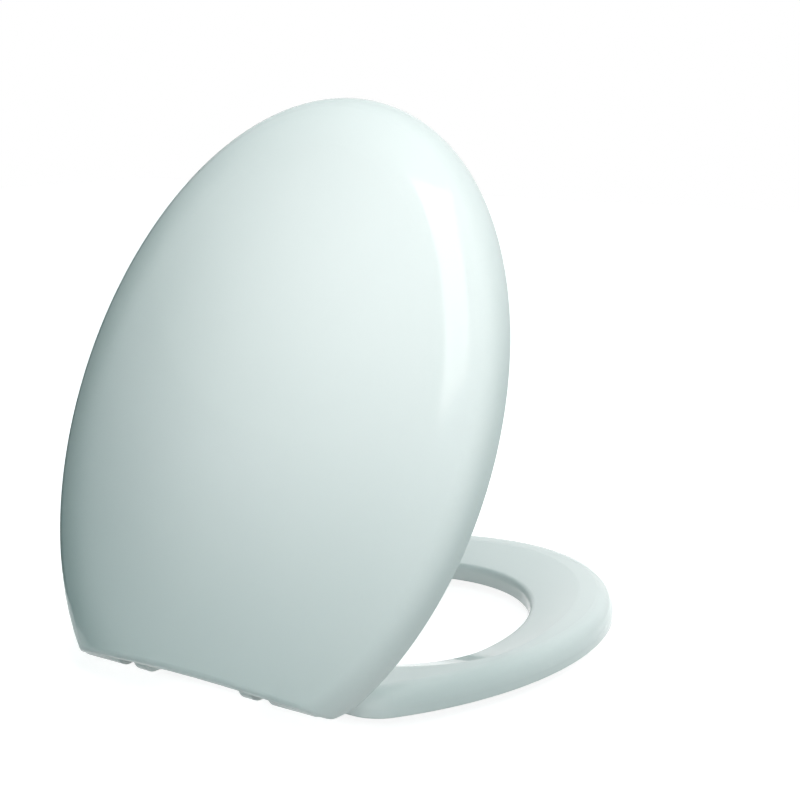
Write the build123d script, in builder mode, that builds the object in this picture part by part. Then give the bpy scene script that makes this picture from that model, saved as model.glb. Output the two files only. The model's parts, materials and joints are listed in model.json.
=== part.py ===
"""Soft-close toilet seat with a wrap-over lid, stored with the lid part-way open.

Millimetres. The origin is on the bowl's top face, midway between the two hinge hubs.
X runs along the hinge, the front of the seat points to -Y, and Z is up.
Left and right are as seen by someone who faces the bowl from the front.
"""

import os
from math import asin, atan2, cos, hypot, pi, radians, sin, tan

from build123d import *

# Hinge line
AXIS_HEIGHT = 23.0          # hinge axis above the bowl's top face
HUB_SPACING = 120.0         # between the two hubs that the bowl's posts grip
HUB_LENGTH = 12.8
HUB_R = 7.4
HUB_EDGE = 0.6
HINGE_GAP = 0.6             # between the ends of neighbouring hinge members
BARREL_R = 11.5             # lid's ears and ring's knuckles, round the hinge axis
BARREL_EDGE_R = 1.2
EAR_LENGTH = 36.0
KNUCKLE_LENGTH = 11.0
SLEEVE_R = 7.6              # ring's sleeve that lengthens each knuckle inwards
SLEEVE_END = 2.0            # closed end of that sleeve

# Lid, drawn shut and then turned open
LID_OPEN = 67.4             # degrees from shut, as photographed
LID_WIDTH = 364.0
LID_REACH = 407.5           # hinge axis to the front tip
LID_BACK = 7.0              # hinge axis to the middle of the rear face
LID_BACK_R = 1500.0         # hollow curve of the rear face, seen from above
LID_WIDEST = 174.5          # hinge axis to the widest line
LID_BACK_CURVE = 233.5      # half length of the ellipse behind the widest line
LID_RIM_DROP = 14.6         # rim below the hinge axis
LID_CROWN = 21.0            # highest point above the hinge axis
LID_WALL = 4.0
DOME_SIDE_R = 1600.0        # curve of the top from side to side
DOME_LENGTH_R = 4000.0      # curve of the top from front to back
DOME_PEAK = 100.0           # hinge axis to the highest line
SHOULDER_SPREAD = 26.0      # sloping band round the top, measured along the dome
SHOULDER_FALL = 8.0         # and down the wall
SHOULDER_BLEND_R = 100.0    # dome to band
SHOULDER_R = 18.0           # band to wall
LID_BACK_EDGE_R = 5.0
LID_RIM_EDGE_R = 1.0
RIM_LAND = 0.4              # upright wall left between the shoulder and the rim's edge
POCKET_GAP = 0.7            # lid to the knuckles that it turns round
HEEL_R = 12.2               # lower rear corner of the lid's sides, about the hinge axis
NOTCH_HEIGHT = 13.0         # lower edge of the lid's rear lip above the hinge axis

# Ring
RING_INSET = 9.3            # ring inside the lid at the sides
RING_FRONT_INSET = 9.8
RING_BACK = 21.5            # hinge axis to the ring's rear edge
RING_TOP_RISE = 3.5         # crest of the ring above the hinge axis
RING_THICKNESS = 19.5
RING_CORNER_R = 28.0
RING_SHOULDER_R = 13.0
RING_DISH = 6.0             # fall of the top from the crest to the hole
RING_CREST_R = 10.0
RING_HOLE_EDGE_R = 5.0
RING_FOOT_EDGE_R = 1.5
RING_WALL = 5.0
RING_CHANNEL = 8.5          # depth of the hollow under the ring
CREST_SIDE = 20.7           # crest inside the ring's sides
CREST_FRONT = 24.0          # crest inside the ring's front edge
CREST_BACK = 15.0           # crest ahead of the ring's rear edge
HOLE_WIDTH = 248.0
HOLE_CENTRE = 150.0         # hinge axis to the hole's widest line
HOLE_FRONT = 168.0
HOLE_BACK = 96.0
ARM_ROOT = 10.0             # length of the arm's root inside the ring's rear edge
ARM_FACE_DROP = 2.5         # arm's root below the ring's crest

# Buffers
RING_BUFFER_LENGTH = 30.0
RING_BUFFER_WIDTH = 15.0
RING_BUFFER_EDGE_R = 2.0
BUFFER_PAD = 4.0            # solid pad left round each ring buffer
LID_BUFFER_R = 7.0
LID_BUFFER_HEIGHT = 3.5
LID_BUFFER_EDGE_R = 1.5
LID_BOSS_R = 9.0
REST_GAP = 0.3              # shut lid's buffers to the ring
STUD_R = 2.5
STUD_LENGTH = 2.6
RING_BUFFER_REAR = 76.0     # hinge axis to the middle of each pair of buffers
RING_BUFFER_FRONT = 290.0
LID_BUFFER_REAR = 112.0
LID_BUFFER_FRONT = 290.0

# Damper cartridges and plain pivots
DAMPER_R = 6.0
DAMPER_LENGTH = 13.0
DAMPER_WALL = 1.2
DAMPER_CAP = 2.0
DAMPER_SPIGOT = 1.5
SHAFT_R = 2.5
SEAL_R = 0.9
TANG = 3.2                  # square drive on the rotor's end
TANG_LENGTH = 5.5
GROOVE = 1.0                # grease grooves round the rotor
PIN_R = 4.0
PIN_LENGTH = 15.0
PIN_SEAT = 5.5
PIN_EDGE = 0.6
PIN_BUSH_WALL = 2.0
RUN_GAP = 0.05              # radial clearance of turning fits
SEAT_GAP = 0.03             # radial clearance of pushed-in pieces

# Worked out from the sizes above
HINGE_LINE = Axis((0, 0, AXIS_HEIGHT), (1, 0, 0))
LID_RIM_Z = AXIS_HEIGHT - LID_RIM_DROP
LID_TOP_Z = AXIS_HEIGHT + LID_CROWN
RING_TOP_Z = AXIS_HEIGHT + RING_TOP_RISE
RING_BOTTOM_Z = RING_TOP_Z - RING_THICKNESS
HOLE_RIM_Z = RING_TOP_Z - RING_DISH
EAR_X = HUB_SPACING / 2 + HUB_LENGTH / 2 + HINGE_GAP
KNUCKLE_X = HUB_SPACING / 2 - HUB_LENGTH / 2 - HINGE_GAP
LID_BOSS_Z = RING_TOP_Z + REST_GAP + LID_BUFFER_HEIGHT
CARTRIDGE_SPAN = DAMPER_CAP + DAMPER_LENGTH
DRUM_R = DAMPER_R - DAMPER_WALL - RUN_GAP
SIDES = {"right": 1, "left": -1}
RING_HALF = LID_WIDTH / 2 - RING_INSET
RING_FRONT = LID_REACH - RING_FRONT_INSET

# Egg outlines: widest line, half width, then reach ahead of that line and behind it
RING_EGG = (LID_WIDEST, RING_HALF, RING_FRONT - LID_WIDEST, LID_BACK_CURVE - RING_INSET)
CREST_EGG = (
    HOLE_CENTRE,
    RING_HALF - CREST_SIDE,
    RING_FRONT - CREST_FRONT - HOLE_CENTRE,
    HOLE_CENTRE - RING_BACK - CREST_BACK,
)
HOLE_EGG = (HOLE_CENTRE, HOLE_WIDTH / 2, HOLE_FRONT, HOLE_BACK)


def across(x):
    """Upright plane that faces +X at the given x, centred on the hinge axis."""
    return Plane(origin=(x, 0, AXIS_HEIGHT), x_dir=(0, 1, 0), z_dir=(1, 0, 0))


def egg(widest, half_width, front, back):
    """Outline of two half ellipses that meet at their widest line."""
    with BuildSketch() as outline:
        with BuildLine():
            EllipticalCenterArc((0, -widest), half_width, front, start_angle=180, arc_size=180)
            EllipticalCenterArc((0, -widest), half_width, back, start_angle=0, arc_size=180)
        make_face()
    return outline.sketch


def egg_side(y, widest, half_width, front, back):
    """Half width of that outline at the given y."""
    ahead = -y - widest
    reach = front if ahead > 0 else back
    return half_width * (1 - (ahead / reach) ** 2) ** 0.5


def band_middle(y):
    """Spot midway between the ring's side and the hole."""
    return ((egg_side(y, *RING_EGG) + egg_side(y, *HOLE_EGG)) / 2, y)


def on_crest(y):
    """Spot on the ring's crest."""
    return (egg_side(y, *CREST_EGG), y)


def grown(outline, amount):
    """The same outline, moved out all round."""
    widest, half_width, front, back = outline
    return (widest, half_width + amount, front + amount, back + amount)


RING_BUFFER_SPOTS = [band_middle(-RING_BUFFER_REAR), band_middle(-RING_BUFFER_FRONT)]
LID_BUFFER_SPOTS = [on_crest(-LID_BUFFER_REAR), on_crest(-LID_BUFFER_FRONT)]


def dome_fall(radius, run):
    """Fall of an arch of that radius at the given distance from its top."""
    return radius - (radius**2 - run**2) ** 0.5


def half_turns(run, radius):
    """Tangents of half the turns from dome to wall, dome to band and band to wall at an edge."""
    slope = asin(run / radius)
    band = atan2(SHOULDER_FALL + SHOULDER_SPREAD * sin(slope), SHOULDER_SPREAD * cos(slope))
    return tan((pi / 2 - slope) / 2), tan((band - slope) / 2), tan((pi / 2 - band) / 2)


# Where the dome has run out: at the front tip and at the sides
FRONT_RUN = LID_REACH - DOME_PEAK
FRONT_FALL = dome_fall(DOME_LENGTH_R, FRONT_RUN)
FRONT_TURNS = half_turns(FRONT_RUN, DOME_LENGTH_R)
SIDE_RUN = LID_WIDTH / 2
SIDE_FALL = dome_fall(DOME_SIDE_R, SIDE_RUN) + dome_fall(DOME_LENGTH_R, LID_WIDEST - DOME_PEAK)
SIDE_TURNS = half_turns(SIDE_RUN, DOME_SIDE_R)

# Both roundings of the shoulder, no larger than the wall and the band leave room for
WALL_ROOM = LID_CROWN + LID_RIM_DROP - SHOULDER_FALL - LID_RIM_EDGE_R - RIM_LAND
SHOULDER = min(
    SHOULDER_R,
    (WALL_ROOM - FRONT_FALL) / FRONT_TURNS[2],
    (WALL_ROOM - SIDE_FALL) / SIDE_TURNS[2],
)
BAND_ROOM = hypot(SHOULDER_SPREAD, SHOULDER_FALL) - RIM_LAND
SHOULDER_BLEND = min(
    SHOULDER_BLEND_R,
    (BAND_ROOM - SHOULDER * FRONT_TURNS[2]) / FRONT_TURNS[1],
    (BAND_ROOM - SHOULDER * SIDE_TURNS[2]) / SIDE_TURNS[1],
)


def lid_form(inset):
    """The shut lid as one domed block, with its outer faces moved in by inset."""
    crown_z = LID_TOP_Z - inset
    side_r = DOME_SIDE_R - inset
    length_r = DOME_LENGTH_R - inset
    dome_axis = Axis((0, -DOME_PEAK, crown_z - length_r), (1, 0, 0))
    swing = 7.0
    dome_plane = Plane(
        origin=dome_axis.position,
        x_dir=(1, 0, 0),
        z_dir=(0, -cos(radians(swing)), sin(radians(swing))),
    )
    span = LID_WIDTH
    edge_fall = dome_fall(side_r, span / 2)
    depth = 4 * (LID_CROWN + LID_RIM_DROP)
    with BuildPart() as form:
        with BuildSketch(Plane.XY.offset(LID_RIM_Z)):
            add(
                egg(
                    LID_WIDEST,
                    LID_WIDTH / 2 - inset,
                    LID_REACH - LID_WIDEST - inset,
                    LID_BACK_CURVE - inset,
                )
            )
        extrude(amount=2 * (LID_CROWN + LID_RIM_DROP))
        with BuildSketch(dome_plane):
            with BuildLine():
                top = ThreePointArc(
                    (-span / 2, length_r - edge_fall),
                    (0, length_r),
                    (span / 2, length_r - edge_fall),
                )
                Polyline(top @ 1, (span / 2, length_r - depth), (-span / 2, length_r - depth), top @ 0)
            make_face()
        revolve(axis=dome_axis, revolution_arc=2 * swing, mode=Mode.INTERSECT)
        dome = form.faces().sort_by(Axis.Z)[-1]
        spread = SHOULDER_SPREAD - inset * (SIDE_TURNS[0] - SIDE_TURNS[1])
        drop = SHOULDER_FALL - inset * (SIDE_TURNS[0] - SIDE_TURNS[2])
        chamfer(dome.edges(), spread, drop, reference=dome)
        fillet(form.faces().sort_by(Axis.Z)[-1].edges(), SHOULDER_BLEND - inset)
        walls = form.faces().filter_by(lambda face: abs(face.normal_at().Z) < 0.01)
        fillet(walls.edges().sort_by(Axis.Z)[-1], SHOULDER - inset)
        with BuildSketch(Plane.XY.offset(LID_RIM_Z)):
            with Locations((0, LID_BACK + LID_BACK_R)):
                Circle(LID_BACK_R + inset)
        extrude(amount=2 * (LID_CROWN + LID_RIM_DROP), mode=Mode.SUBTRACT)
        rear_face = form.faces().sort_by(Axis.Y)[-1]
        fillet(rear_face.edges().sort_by(Axis.Z)[1:], max(LID_BACK_EDGE_R - inset, 0.5))
        if inset == 0:
            fillet(form.faces().sort_by(Axis.Z)[0].edges(), LID_RIM_EDGE_R)
    return form.part


def opened(part):
    """Turn a piece of the lid from shut to the stored angle."""
    return part.rotate(HINGE_LINE, -LID_OPEN)


def hinge_hub(centre_x):
    """Fixed hub in the gap of the hinge: drive socket at +X, pin bore at -X."""
    start_x = centre_x - HUB_LENGTH / 2
    end_x = centre_x + HUB_LENGTH / 2
    with BuildPart() as hub:
        with BuildSketch(across(start_x)):
            Circle(HUB_R)
        extrude(amount=HUB_LENGTH)
        chamfer(hub.edges().filter_by(GeomType.CIRCLE), HUB_EDGE)
        with BuildSketch(across(end_x)):
            Rectangle(TANG + 2 * SEAT_GAP, TANG + 2 * SEAT_GAP)
        extrude(amount=-TANG_LENGTH, mode=Mode.SUBTRACT)
        with BuildSketch(across(start_x)):
            Circle(PIN_R + SEAT_GAP)
        extrude(amount=PIN_SEAT, mode=Mode.SUBTRACT)
    return hub.part


def ring_knuckle(side):
    """Knuckle of the ring with its arm, and the sleeve that lengthens it inwards."""
    outer_x = side * KNUCKLE_X
    with BuildPart() as knuckle:
        with BuildSketch(across(outer_x)):
            Circle(BARREL_R)
            with Locations((-RING_BACK, (RING_TOP_RISE - ARM_FACE_DROP) / 2 - BARREL_R / 2)):
                Rectangle(
                    ARM_ROOT,
                    RING_TOP_RISE - ARM_FACE_DROP + BARREL_R,
                    align=(Align.MAX, Align.CENTER),
                )
            make_hull()
        extrude(amount=-side * KNUCKLE_LENGTH)
        ends = knuckle.faces().filter_by(Axis.X)
        fillet(ends.edges(), BARREL_EDGE_R)
        with BuildSketch(across(outer_x - side * KNUCKLE_LENGTH / 2)):
            Circle(SLEEVE_R)
        extrude(amount=-side * (CARTRIDGE_SPAN + SLEEVE_END - KNUCKLE_LENGTH / 2))
    return knuckle.part


def lid_ear(side):
    """Ear of the lid round the hinge axis, rounded at its inner end."""
    with BuildPart() as ear:
        with BuildSketch(across(side * EAR_X)):
            Circle(BARREL_R)
        extrude(amount=side * EAR_LENGTH)
        fillet(ear.edges().filter_by(GeomType.CIRCLE), BARREL_EDGE_R)
    return ear.part


def damper_housing(face_x):
    """Cup of the damper cartridge, open towards the hub."""
    with BuildPart() as housing:
        with BuildSketch(across(face_x + DAMPER_CAP)):
            Circle(DAMPER_R)
        extrude(amount=DAMPER_LENGTH)
        with BuildSketch(across(face_x + DAMPER_CAP)):
            Circle(DAMPER_R - DAMPER_WALL)
        extrude(amount=DAMPER_LENGTH - DAMPER_WALL, mode=Mode.SUBTRACT)
        chamfer(housing.faces().sort_by(Axis.X)[-1].edges(), DAMPER_WALL / 3)
    return housing.part


def damper_cap(face_x):
    """Lid of the cartridge, with a spigot and the shaft's hole."""
    with BuildPart() as cap:
        with BuildSketch(across(face_x)):
            Circle(DAMPER_R)
        extrude(amount=DAMPER_CAP)
        with BuildSketch(across(face_x + DAMPER_CAP)):
            Circle(DAMPER_R - DAMPER_WALL - SEAT_GAP)
        extrude(amount=DAMPER_SPIGOT)
        with BuildSketch(across(face_x)):
            Circle(SHAFT_R + RUN_GAP)
        extrude(amount=DAMPER_CAP + DAMPER_SPIGOT, mode=Mode.SUBTRACT)
    return cap.part


def damper_seal(face_x):
    """Ring round the shaft behind the cartridge's cap."""
    seal_x = face_x + DAMPER_CAP + DAMPER_SPIGOT + SEAL_R
    with BuildPart() as seal:
        with BuildSketch(Plane.XY.offset(AXIS_HEIGHT)):
            with Locations((seal_x, SHAFT_R + RUN_GAP + SEAL_R)):
                Circle(SEAL_R)
        revolve(axis=HINGE_LINE)
    return seal.part


def damper_rotor(face_x):
    """Grooved drum in the cartridge, with a shaft and a square drive in the hub."""
    drum_x = face_x + DAMPER_CAP + DAMPER_SPIGOT + 2 * SEAL_R + RUN_GAP
    drum_end = face_x + CARTRIDGE_SPAN - DAMPER_WALL - HINGE_GAP
    shaft_x = face_x - HINGE_GAP
    drum_length = drum_end - drum_x
    with BuildPart() as rotor:
        with BuildSketch(across(drum_x)):
            Circle(DRUM_R)
        extrude(amount=drum_length)
        for share in (0.25, 0.5, 0.75):
            with BuildSketch(across(drum_x + share * drum_length - GROOVE / 2)):
                Circle(DRUM_R)
                Circle(DRUM_R - GROOVE, mode=Mode.SUBTRACT)
            extrude(amount=GROOVE, mode=Mode.SUBTRACT)
        with BuildSketch(across(shaft_x)):
            Circle(SHAFT_R)
        extrude(amount=drum_x - shaft_x)
        with BuildSketch(across(shaft_x)):
            Rectangle(TANG, TANG)
        extrude(amount=-TANG_LENGTH)
    return rotor.part


def pivot_pin(face_x):
    """Plain pin, pushed into the hub and running in a bush."""
    with BuildPart() as pin:
        with BuildSketch(across(face_x - PIN_LENGTH)):
            Circle(PIN_R)
        extrude(amount=PIN_LENGTH + HINGE_GAP + PIN_SEAT)
        chamfer(pin.edges().filter_by(GeomType.CIRCLE), PIN_EDGE)
    return pin.part


def pivot_bush(face_x):
    """Plain sleeve round the pivot pin."""
    with BuildPart() as bush:
        with BuildSketch(across(face_x - PIN_LENGTH)):
            Circle(PIN_R + PIN_BUSH_WALL)
            Circle(PIN_R + RUN_GAP, mode=Mode.SUBTRACT)
        extrude(amount=PIN_LENGTH)
    return bush.part


def ring_buffer(x, y):
    """Rubber foot under the ring, with a stud in the ring's pad."""
    with BuildPart() as buffer:
        with BuildSketch():
            with Locations((x, y)):
                SlotOverall(RING_BUFFER_LENGTH, RING_BUFFER_WIDTH, rotation=90)
        extrude(amount=RING_BOTTOM_Z)
        fillet(buffer.faces().sort_by(Axis.Z)[0].edges(), RING_BUFFER_EDGE_R)
        with BuildSketch(Plane((x, y, RING_BOTTOM_Z))):
            Circle(STUD_R)
        extrude(amount=STUD_LENGTH)
    return buffer.part


def lid_buffer(x, y):
    """Rubber button under the shut lid, with a stud in the lid's boss."""
    with BuildPart() as buffer:
        with BuildSketch(Plane((x, y, LID_BOSS_Z))):
            Circle(LID_BUFFER_R)
        extrude(amount=-LID_BUFFER_HEIGHT)
        fillet(buffer.edges().sort_by(Axis.Z)[0], LID_BUFFER_EDGE_R)
        with BuildSketch(Plane((x, y, LID_BOSS_Z))):
            Circle(STUD_R)
        extrude(amount=STUD_LENGTH)
    return buffer.part


# Seat ring: egg-shaped block, rounded outside, dished towards the hole
with BuildPart() as seat_ring:
    with BuildSketch(Plane.XY.offset(RING_BOTTOM_Z)) as ring_outline:
        add(egg(*RING_EGG))
        with Locations((0, -RING_BACK)):
            Rectangle(LID_WIDTH, LID_REACH, align=(Align.CENTER, Align.MAX), mode=Mode.INTERSECT)
        fillet(ring_outline.vertices().group_by(Axis.Y)[-1], RING_CORNER_R)
    extrude(amount=RING_THICKNESS)
    fillet(seat_ring.faces().sort_by(Axis.Z)[-1].edges(), RING_SHOULDER_R)

    # Dish from the crest down to the hole
    with BuildSketch(Plane.XY.offset(RING_TOP_Z)):
        add(egg(*CREST_EGG))
    with BuildSketch(Plane.XY.offset(HOLE_RIM_Z)):
        add(egg(*HOLE_EGG))
    loft(ruled=True, mode=Mode.SUBTRACT)
    crest = seat_ring.faces().sort_by(Axis.Z)[-1].inner_wires()[0]
    fillet(crest.edges(), RING_CREST_R)

    # Hole, with a rounded upper edge
    with BuildSketch(Plane.XY.offset(RING_BOTTOM_Z)):
        add(egg(*HOLE_EGG))
    extrude(amount=RING_THICKNESS, mode=Mode.SUBTRACT)
    hole_rim = seat_ring.edges().filter_by_position(Axis.Z, HOLE_RIM_Z, HOLE_RIM_Z)
    fillet(hole_rim, RING_HOLE_EDGE_R)
    fillet(seat_ring.faces().sort_by(Axis.Z)[0].edges(), RING_FOOT_EDGE_R)

    # Hollow underside, with a solid pad over each buffer
    with BuildSketch(Plane.XY.offset(RING_BOTTOM_Z)) as channel:
        add(egg(*grown(RING_EGG, -RING_WALL)))
        add(egg(*grown(HOLE_EGG, RING_WALL)), mode=Mode.SUBTRACT)
        with Locations((0, -RING_BACK - CREST_BACK)):
            Rectangle(LID_WIDTH, LID_REACH, align=(Align.CENTER, Align.MIN), mode=Mode.SUBTRACT)
        for side in SIDES.values():
            for x, y in RING_BUFFER_SPOTS:
                with Locations((side * x, y)):
                    SlotOverall(
                        RING_BUFFER_LENGTH + 2 * BUFFER_PAD,
                        RING_BUFFER_WIDTH + 2 * BUFFER_PAD,
                        rotation=90,
                        mode=Mode.SUBTRACT,
                    )
    extrude(amount=RING_CHANNEL, mode=Mode.SUBTRACT)
    with BuildSketch(Plane.XY.offset(RING_BOTTOM_Z)):
        for side in SIDES.values():
            for x, y in RING_BUFFER_SPOTS:
                with Locations((side * x, y)):
                    Circle(STUD_R + SEAT_GAP)
    extrude(amount=STUD_LENGTH, mode=Mode.SUBTRACT)

    # Knuckles and the arms that carry them
    for side in SIDES.values():
        add(ring_knuckle(side))

    # Left knuckle takes the ring damper, right knuckle the plain bush
    with BuildSketch(across(-KNUCKLE_X)):
        Circle(DAMPER_R + SEAT_GAP)
    extrude(amount=CARTRIDGE_SPAN, mode=Mode.SUBTRACT)
    with BuildSketch(across(KNUCKLE_X)):
        Circle(PIN_R + PIN_BUSH_WALL + SEAT_GAP)
    extrude(amount=-PIN_LENGTH, mode=Mode.SUBTRACT)

# Lid, shut: domed shell, webs over the ears, bosses for the buffers
with BuildPart() as lid_bosses:
    for side in SIDES.values():
        with BuildSketch(across(side * EAR_X)):
            Rectangle(2 * BARREL_R, LID_CROWN, align=(Align.CENTER, Align.MIN))
        extrude(amount=side * EAR_LENGTH)
    for side in SIDES.values():
        for x, y in LID_BUFFER_SPOTS:
            with BuildSketch(Plane((side * x, y, LID_BOSS_Z))):
                Circle(LID_BOSS_R)
            extrude(amount=LID_TOP_Z - LID_BOSS_Z)
    add(lid_form(0), mode=Mode.INTERSECT)

with BuildPart() as shut_lid:
    add(lid_form(0))
    add(lid_form(LID_WALL), mode=Mode.SUBTRACT)
    with BuildSketch(across(-LID_WIDTH / 2)):
        Rectangle(2 * LID_RIM_DROP, 2 * LID_RIM_DROP, align=(Align.MIN, Align.MAX))
        Circle(HEEL_R, mode=Mode.SUBTRACT)
    extrude(amount=LID_WIDTH, mode=Mode.SUBTRACT)
    add(lid_bosses.part)
    for side in SIDES.values():
        add(lid_ear(side))
    # Room for the hubs and knuckles that stay still while the lid turns
    with BuildSketch(across(-EAR_X)):
        Circle(BARREL_R + POCKET_GAP)
        with Locations((0, NOTCH_HEIGHT)):
            Rectangle(2 * BARREL_R, 2 * LID_RIM_DROP + NOTCH_HEIGHT, align=(Align.MIN, Align.MAX))
    extrude(amount=2 * EAR_X, mode=Mode.SUBTRACT)
    # Right ear takes the lid damper, left ear the plain bush
    with BuildSketch(across(EAR_X)):
        Circle(DAMPER_R + SEAT_GAP)
    extrude(amount=CARTRIDGE_SPAN, mode=Mode.SUBTRACT)
    with BuildSketch(across(-EAR_X)):
        Circle(PIN_R + PIN_BUSH_WALL + SEAT_GAP)
    extrude(amount=-PIN_LENGTH, mode=Mode.SUBTRACT)
    # Flat seats and stud holes for the buttons
    with BuildSketch(Plane.XY.offset(LID_BOSS_Z)):
        for side in SIDES.values():
            for x, y in LID_BUFFER_SPOTS:
                with Locations((side * x, y)):
                    Circle(LID_BOSS_R)
    extrude(amount=-LID_BUFFER_HEIGHT, mode=Mode.SUBTRACT)
    with BuildSketch(Plane.XY.offset(LID_BOSS_Z)):
        for side in SIDES.values():
            for x, y in LID_BUFFER_SPOTS:
                with Locations((side * x, y)):
                    Circle(STUD_R + SEAT_GAP)
    extrude(amount=STUD_LENGTH, mode=Mode.SUBTRACT)

pieces = {
    "seat_ring": seat_ring.part,
    "lid": opened(shut_lid.part),
    "hinge_hub_right": hinge_hub(HUB_SPACING / 2),
    "hinge_hub_left": hinge_hub(-HUB_SPACING / 2),
    "lid_damper_housing": opened(damper_housing(EAR_X)),
    "lid_damper_cap": opened(damper_cap(EAR_X)),
    "lid_damper_seal": opened(damper_seal(EAR_X)),
    "lid_damper_rotor": damper_rotor(EAR_X),
    "ring_damper_housing": damper_housing(-KNUCKLE_X),
    "ring_damper_cap": damper_cap(-KNUCKLE_X),
    "ring_damper_seal": damper_seal(-KNUCKLE_X),
    "ring_damper_rotor": damper_rotor(-KNUCKLE_X),
    "lid_pivot_pin": pivot_pin(-EAR_X),
    "lid_pivot_bush": opened(pivot_bush(-EAR_X)),
    "ring_pivot_pin": pivot_pin(KNUCKLE_X),
    "ring_pivot_bush": pivot_bush(KNUCKLE_X),
}
for name, side in SIDES.items():
    for place, (x, y) in zip(("rear", "front"), RING_BUFFER_SPOTS):
        pieces[f"ring_buffer_{place}_{name}"] = ring_buffer(side * x, y)
    for place, (x, y) in zip(("rear", "front"), LID_BUFFER_SPOTS):
        pieces[f"lid_buffer_{place}_{name}"] = opened(lid_buffer(side * x, y))

os.makedirs("parts", exist_ok=True)
for name, piece in pieces.items():
    piece.label = name
    export_step(piece, f"parts/{name}.step")
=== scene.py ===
"""Looks of the toilet seat: moulded gloss plastic, small hinge parts, pale studio."""

import json
from math import cos, radians, sin
from typing import NamedTuple

import bpy
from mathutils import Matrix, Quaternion, Vector

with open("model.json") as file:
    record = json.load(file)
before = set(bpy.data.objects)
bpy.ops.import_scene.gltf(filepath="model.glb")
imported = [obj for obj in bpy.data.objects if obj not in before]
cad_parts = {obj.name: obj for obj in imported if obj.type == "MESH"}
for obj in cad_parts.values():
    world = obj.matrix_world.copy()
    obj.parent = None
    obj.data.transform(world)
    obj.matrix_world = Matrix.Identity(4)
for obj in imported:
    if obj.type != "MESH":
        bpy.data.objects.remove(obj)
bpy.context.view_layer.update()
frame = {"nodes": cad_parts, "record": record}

# Lengths are in metres, angles in degrees and lamp power in watts, and colours are linear

# Camera, fitted to the photo: the direction it looks in, what it looks at and from how far
CAMERA_AZIMUTH = 216.75
CAMERA_ELEVATION = 10.57
CAMERA_TARGET = Vector((-0.0856, -0.1048, 0.1987))
CAMERA_DISTANCE = 1.2
CAMERA_SHIFT = 0.003

# Lens and sensor of the camera, in millimetres
CAMERA_LENS = 80.8
CAMERA_SENSOR = 36.0

# Backdrop, and the cool sky that lights the object
WHITE = (1.0, 1.0, 1.0)
SKY_TINT = (0.05, 1.0, 0.98)
SKY_STRENGTH = 0.15

# Floor, under a white veil that is thinner near the object, where the shadow falls
FLOOR_HALF = 4.0
FLOOR_TINT = (0.5, 0.5, 0.5)
FLOOR_ROUGHNESS = 0.8
VEIL_CENTRE = (0.0, -0.15, 0.0)
VEIL_START = 0.18
VEIL_END = 0.45
VEIL_NEAR = 0.85
VEIL_FAR = 1.0

# Dark card beside the lid, whole up to the start distance from its centre and gone at the end distance
FLAG_TINT = (0.02, 0.025, 0.025)
FLAG_CENTRE = (0.35, -0.15, 0.1)
FLAG_START = 0.2
FLAG_END = 0.5

# Lamps: their tint, the beam of an open one, and the places on the raised lid that three of them look at
LAMP_TINT = (1.0, 0.945, 0.935)
OPEN_BEAM = 180.0
FACE_SPOT = Vector((-0.05, -0.12, 0.295))
EDGE_SPOT = Vector((-0.08, -0.125, 0.30))
SHOULDER_SPOT = Vector((-0.129, -0.095, 0.276))

# Noise in the finishes: its detail, the part of its range in use, and the patches of gloss per patch of tint
TINT_DETAIL = 4.0
FINE_DETAIL = 2.0
NOISE_LOW = 0.3
NOISE_HIGH = 0.7
GLOSS_PER_TINT = 2.7


class Finish(NamedTuple):
    """Two near tints in patches, a range of roughness, and a grain: patches and grains are per metre."""

    tint: tuple
    deep_tint: tuple
    patches: float
    roughness: tuple
    grains: float
    grain_depth: float
    metallic: float = 0.0
    stretch: tuple = None


class Lamp(NamedTuple):
    """Rectangular lamp, placed by the direction in which it looks at its target and the distance from it."""

    azimuth: float
    elevation: float
    distance: float
    size: tuple
    power: float
    target: Vector = CAMERA_TARGET
    beam: float = OPEN_BEAM
    roll: float = 0.0
    only_highlight: bool = False


FINISHES = {
    "seat_plastic": Finish(
        tint=(0.83, 0.87, 0.866),
        deep_tint=(0.818, 0.861, 0.857),
        patches=9.0,
        roughness=(0.015, 0.04),
        grains=220.0,
        grain_depth=2e-6,
    ),
    "buffer_rubber": Finish(
        tint=(0.62, 0.66, 0.66),
        deep_tint=(0.54, 0.58, 0.58),
        patches=60.0,
        roughness=(0.5, 0.65),
        grains=1500.0,
        grain_depth=4e-5,
    ),
    "seal_rubber": Finish(
        tint=(0.022, 0.023, 0.024),
        deep_tint=(0.035, 0.036, 0.038),
        patches=300.0,
        roughness=(0.4, 0.55),
        grains=3000.0,
        grain_depth=2e-5,
    ),
    "damper_plastic": Finish(
        tint=(0.045, 0.048, 0.052),
        deep_tint=(0.030, 0.032, 0.035),
        patches=150.0,
        roughness=(0.35, 0.5),
        grains=2500.0,
        grain_depth=2e-5,
    ),
    "bush_plastic": Finish(
        tint=(0.72, 0.72, 0.68),
        deep_tint=(0.66, 0.66, 0.61),
        patches=150.0,
        roughness=(0.35, 0.5),
        grains=2500.0,
        grain_depth=1e-5,
    ),
    "hub_plastic": Finish(
        tint=(0.42, 0.46, 0.46),
        deep_tint=(0.36, 0.40, 0.40),
        patches=120.0,
        roughness=(0.3, 0.45),
        grains=2000.0,
        grain_depth=2e-5,
    ),
    "pin_steel": Finish(
        tint=(0.56, 0.56, 0.55),
        deep_tint=(0.46, 0.46, 0.45),
        patches=200.0,
        roughness=(0.25, 0.4),
        grains=900.0,
        grain_depth=1e-5,
        metallic=1.0,
        stretch=(8.0, 1.0, 1.0),
    ),
}

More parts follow.
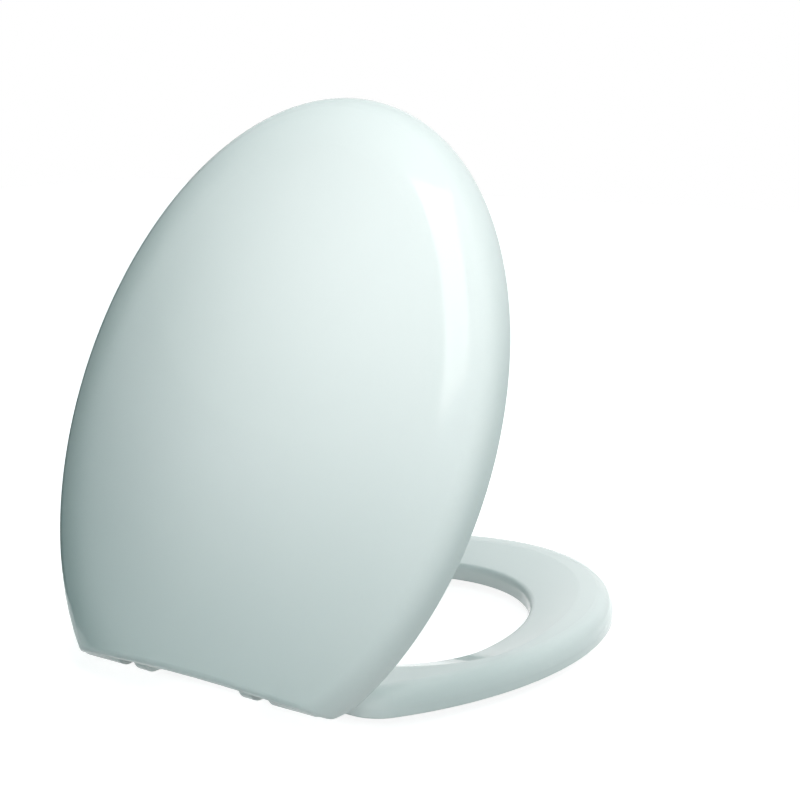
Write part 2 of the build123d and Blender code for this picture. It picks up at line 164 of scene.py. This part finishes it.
LAMPS = {
    "key": Lamp(
        azimuth=202.0,
        elevation=22.0,
        distance=0.9,
        size=(0.35, 0.35),
        power=0.36,
        target=FACE_SPOT,
        beam=50.0,
    ),
    "top": Lamp(
        azimuth=200.0,
        elevation=66.0,
        distance=0.8,
        size=(0.3, 0.3),
        power=0.39,
        target=EDGE_SPOT,
        beam=55.0,
    ),
    "rear": Lamp(azimuth=228.0, elevation=7.0, distance=0.87, size=(0.4, 0.4), power=1.55),
    "front": Lamp(azimuth=340.0, elevation=20.0, distance=1.2, size=(0.6, 0.6), power=7.4),
    "left": Lamp(azimuth=25.0, elevation=20.0, distance=1.2, size=(0.6, 0.6), power=3.2),
    "strip": Lamp(
        azimuth=165.5,
        elevation=45.5,
        distance=1.2,
        size=(0.39, 0.67),
        power=1.9,
        target=SHOULDER_SPOT,
        roll=36.0,
        only_highlight=True,
    ),
}


def opaque(tint):
    """Tint as a colour for a socket."""
    return (*tint, 1.0)


def aim(azimuth, elevation):
    """Unit vector of a look in that direction: azimuth 0 looks along +Y and 90 along -X."""
    turn, tilt = radians(azimuth), radians(elevation)
    return Vector((-sin(turn) * cos(tilt), cos(turn) * cos(tilt), -sin(tilt)))


def new_material(name):
    """New material, its node tree and its shader."""
    material = bpy.data.materials.new(name)
    material.use_nodes = True
    tree = material.node_tree
    return material, tree, tree.nodes["Principled BSDF"]


def noise(tree, place, scale, detail=FINE_DETAIL):
    """Noise over those coordinates."""
    node = tree.nodes.new("ShaderNodeTexNoise")
    node.inputs["Scale"].default_value = scale
    node.inputs["Detail"].default_value = detail
    tree.links.new(place, node.inputs["Vector"])
    return node.outputs["Fac"]


def spread(tree, factor, low, high):
    """Numbers from low to high, as the factor goes over the part of its range in use."""
    node = tree.nodes.new("ShaderNodeMapRange")
    node.inputs["From Min"].default_value = NOISE_LOW
    node.inputs["From Max"].default_value = NOISE_HIGH
    node.inputs["To Min"].default_value = low
    node.inputs["To Max"].default_value = high
    tree.links.new(factor, node.inputs["Value"])
    return node.outputs["Result"]


def surface(name, finish):
    """Material with that finish."""
    material, tree, shader = new_material(name)
    place = tree.nodes.new("ShaderNodeTexCoord").outputs["Object"]
    if finish.stretch:
        mapping = tree.nodes.new("ShaderNodeMapping")
        mapping.inputs["Scale"].default_value = finish.stretch
        tree.links.new(place, mapping.inputs["Vector"])
        place = mapping.outputs["Vector"]

    tint_noise = noise(tree, place, finish.patches, TINT_DETAIL)
    mix = tree.nodes.new("ShaderNodeMix")
    mix.data_type = "RGBA"
    mix.inputs["A"].default_value = opaque(finish.tint)
    mix.inputs["B"].default_value = opaque(finish.deep_tint)
    tree.links.new(spread(tree, tint_noise, 0.0, 1.0), mix.inputs["Factor"])
    tree.links.new(mix.outputs["Result"], shader.inputs["Base Color"])

    gloss_noise = noise(tree, place, finish.patches * GLOSS_PER_TINT)
    tree.links.new(spread(tree, gloss_noise, *finish.roughness), shader.inputs["Roughness"])
    shader.inputs["Metallic"].default_value = finish.metallic

    bump = tree.nodes.new("ShaderNodeBump")
    bump.inputs["Strength"].default_value = 1.0
    bump.inputs["Distance"].default_value = finish.grain_depth
    tree.links.new(noise(tree, place, finish.grains), bump.inputs["Height"])
    tree.links.new(bump.outputs["Normal"], shader.inputs["Normal"])
    return material


def dress_pieces():
    """Gives each CAD piece the material of its slot, and smooth shading."""
    materials = {name: surface(name, finish) for name, finish in FINISHES.items()}
    for part in frame["record"]["subparts"]:
        mesh = frame["nodes"][part["node"]].data
        mesh.materials.clear()
        mesh.materials.append(materials[part["material_slot"]])
        mesh.shade_smooth()


def backdrop_rays(tree):
    """One for the rays that should see a plain white backdrop: the camera's, mirrored and passing ones."""
    path = tree.nodes.new("ShaderNodeLightPath")
    total = path.outputs["Is Camera Ray"]
    for name in ("Is Glossy Ray", "Is Transmission Ray"):
        either = tree.nodes.new("ShaderNodeMath")
        either.operation = "MAXIMUM"
        tree.links.new(total, either.inputs[0])
        tree.links.new(path.outputs[name], either.inputs[1])
        total = either.outputs["Value"]
    return total


def make_world():
    """White backdrop, and a soft cool sky that lights the object."""
    world = bpy.data.worlds.new("studio")
    bpy.context.scene.world = world
    world.use_nodes = True
    tree = world.node_tree
    sky = tree.nodes["Background"]
    sky.inputs["Color"].default_value = opaque(SKY_TINT)
    sky.inputs["Strength"].default_value = SKY_STRENGTH
    backdrop = tree.nodes.new("ShaderNodeBackground")
    backdrop.inputs["Color"].default_value = opaque(WHITE)
    mix = tree.nodes.new("ShaderNodeMixShader")
    tree.links.new(backdrop_rays(tree), mix.inputs["Fac"])
    tree.links.new(sky.outputs["Background"], mix.inputs[1])
    tree.links.new(backdrop.outputs["Background"], mix.inputs[2])
    tree.links.new(mix.outputs["Shader"], tree.nodes["World Output"].inputs["Surface"])


def flat_panel(name, corners):
    """Flat stage panel with those corners, the node tree of its material and the shader."""
    mesh = bpy.data.meshes.new(name)
    mesh.from_pydata(corners, [], [(0, 1, 2, 3)])
    panel = bpy.data.objects.new(name, mesh)
    bpy.context.scene.collection.objects.link(panel)
    material, tree, shader = new_material(name)
    mesh.materials.append(material)
    return panel, tree, shader


def distance_fade(tree, centre, start, end, near, far):
    """Number that goes smoothly from near to far as the distance from the centre goes from start to end."""
    reach = tree.nodes.new("ShaderNodeVectorMath")
    reach.operation = "DISTANCE"
    reach.inputs[1].default_value = centre
    tree.links.new(tree.nodes.new("ShaderNodeNewGeometry").outputs["Position"], reach.inputs[0])
    fade = tree.nodes.new("ShaderNodeMapRange")
    fade.interpolation_type = "SMOOTHSTEP"
    fade.inputs["From Min"].default_value = start
    fade.inputs["From Max"].default_value = end
    fade.inputs["To Min"].default_value = near
    fade.inputs["To Max"].default_value = far
    tree.links.new(reach.outputs["Value"], fade.inputs["Value"])
    return fade.outputs["Result"]


def make_floor():
    """Grey floor under a white veil, so that it looks white and keeps a faint shadow near the object."""
    half = FLOOR_HALF
    corners = [(-half, -half, 0.0), (half, -half, 0.0), (half, half, 0.0), (-half, half, 0.0)]
    _, tree, shader = flat_panel("floor", corners)
    shader.inputs["Base Color"].default_value = opaque(FLOOR_TINT)
    shader.inputs["Roughness"].default_value = FLOOR_ROUGHNESS
    fade = distance_fade(tree, VEIL_CENTRE, VEIL_START, VEIL_END, VEIL_NEAR, VEIL_FAR)
    strength = tree.nodes.new("ShaderNodeMath")
    strength.operation = "MULTIPLY"
    tree.links.new(backdrop_rays(tree), strength.inputs[0])
    tree.links.new(fade, strength.inputs[1])
    veil = tree.nodes.new("ShaderNodeEmission")
    veil.inputs["Color"].default_value = opaque(WHITE)
    tree.links.new(strength.outputs["Value"], veil.inputs["Strength"])
    both = tree.nodes.new("ShaderNodeAddShader")
    tree.links.new(shader.outputs["BSDF"], both.inputs[0])
    tree.links.new(veil.outputs["Emission"], both.inputs[1])
    tree.links.new(both.outputs["Shader"], tree.nodes["Material Output"].inputs["Surface"])


def make_flag():
    """Dark studio card with soft edges, out of the camera's sight, beside the lid's shaded edge."""
    x, y, z = FLAG_CENTRE
    front, back, top = y - FLAG_END, y + FLAG_END, z + FLAG_END
    corners = [(x, front, 0.0), (x, back, 0.0), (x, back, top), (x, front, top)]
    flag, tree, shader = flat_panel("flag", corners)
    flag.visible_camera = False
    shader.inputs["Base Color"].default_value = opaque(FLAG_TINT)
    shader.inputs["Roughness"].default_value = 1.0
    shader.inputs["Specular IOR Level"].default_value = 0.0
    clear = tree.nodes.new("ShaderNodeBsdfTransparent")
    mix = tree.nodes.new("ShaderNodeMixShader")
    tree.links.new(distance_fade(tree, FLAG_CENTRE, FLAG_START, FLAG_END, 0.0, 1.0), mix.inputs["Fac"])
    tree.links.new(shader.outputs["BSDF"], mix.inputs[1])
    tree.links.new(clear.outputs["BSDF"], mix.inputs[2])
    tree.links.new(mix.outputs["Shader"], tree.nodes["Material Output"].inputs["Surface"])


def add_lamp(name, lamp):
    """Adds the lamp, out of the camera's sight: it lights matt shades or makes a highlight, not both."""
    light = bpy.data.lights.new(name, "AREA")
    light.shape = "RECTANGLE"
    light.size, light.size_y = lamp.size
    light.energy = lamp.power
    light.color = LAMP_TINT
    light.spread = radians(lamp.beam)
    thing = bpy.data.objects.new(name, light)
    look = aim(lamp.azimuth, lamp.elevation)
    thing.location = lamp.target - look * lamp.distance
    thing.rotation_mode = "QUATERNION"
    roll = Quaternion((0.0, 0.0, 1.0), radians(lamp.roll))
    thing.rotation_quaternion = look.to_track_quat("-Z", "Y") @ roll
    thing.visible_camera = False
    thing.visible_glossy = lamp.only_highlight
    thing.visible_diffuse = not lamp.only_highlight
    bpy.context.scene.collection.objects.link(thing)


def make_camera():
    """Camera at the photo's place."""
    data = bpy.data.cameras.new("camera")
    data.lens = CAMERA_LENS
    data.sensor_width = CAMERA_SENSOR
    data.shift_x = CAMERA_SHIFT
    camera = bpy.data.objects.new("camera", data)
    look = aim(CAMERA_AZIMUTH, CAMERA_ELEVATION)
    camera.location = CAMERA_TARGET - look * CAMERA_DISTANCE
    camera.rotation_euler = look.to_track_quat("-Z", "Y").to_euler()
    bpy.context.scene.collection.objects.link(camera)
    bpy.context.scene.camera = camera


dress_pieces()
make_world()
make_floor()
for name, lamp in LAMPS.items():
    add_lamp(name, lamp)
make_flag()
make_camera()

bpy.context.scene.view_settings.view_transform = "Standard"
